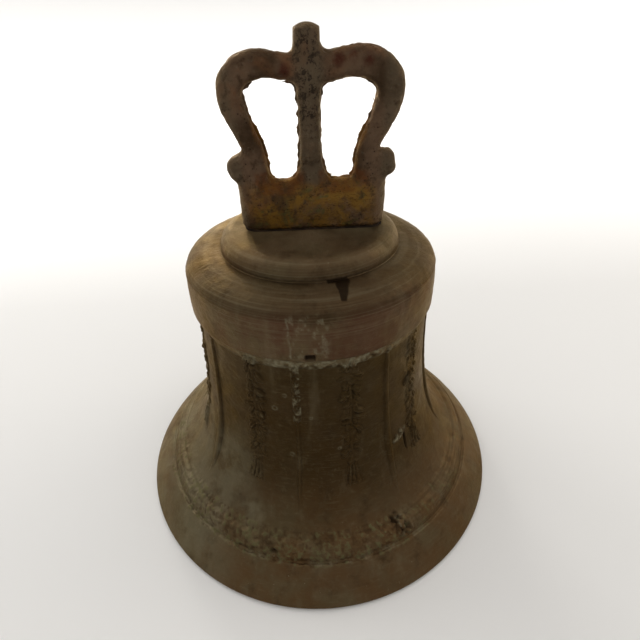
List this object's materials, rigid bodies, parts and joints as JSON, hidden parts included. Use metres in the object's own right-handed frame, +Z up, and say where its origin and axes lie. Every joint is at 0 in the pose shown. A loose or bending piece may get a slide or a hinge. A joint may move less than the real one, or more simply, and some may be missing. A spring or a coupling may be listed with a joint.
{
  "type": "ship bell",
  "caption": "Flared bronze bell with a waist of ribs and garlands, an openwork crown bolted to its head, and a clapper hinged inside.",
  "frame": {"origin": "middle of the mouth, on the plane of the lip that the bell stands on", "axes": "+Z up along the bell's axis to the crown, -Y towards the front, X along the crown's width and the clapper's swing"},
  "size_m": [0.3, 0.3, 0.3307],
  "materials": {
    "bell_bronze": "aged, dark olive-brown patina",
    "crown_bronze": "aged, dark brown patina",
    "packing_leather": "dark, greasy",
    "rusty_iron": "old forged iron, lightly rusted",
    "pin_steel": "worn",
    "bush_brass": "worn bright"
  },
  "bodies": {
    "bell": {"bell_shell": "bell_bronze", "crown": "crown_bronze", "crown_packing": "packing_leather", "crown_studs": "rusty_iron", "crown_washers": "rusty_iron", "crown_nuts": "rusty_iron", "crown_lock_nuts": "rusty_iron", "hanger_bolt": "rusty_iron", "hanger_washer": "rusty_iron", "hanger_bush": "bush_brass"},
    "clapper": {"clapper_fork": "rusty_iron", "hinge_pin": "pin_steel", "hinge_washer": "pin_steel", "split_pin": "pin_steel", "clapper_rod": "rusty_iron", "rod_lock_nut": "rusty_iron", "clapper_ball": "rusty_iron", "ball_pin": "pin_steel", "lanyard_eye": "rusty_iron"}
  },
  "joints": [
    {"name": "clapper_swing", "type": "hinge", "parent": "bell", "child": "clapper", "pos_m": [0, 0, 0.178], "axis": [0, 1, 0], "range_deg": [-29.9, 29.9]}
  ]
}
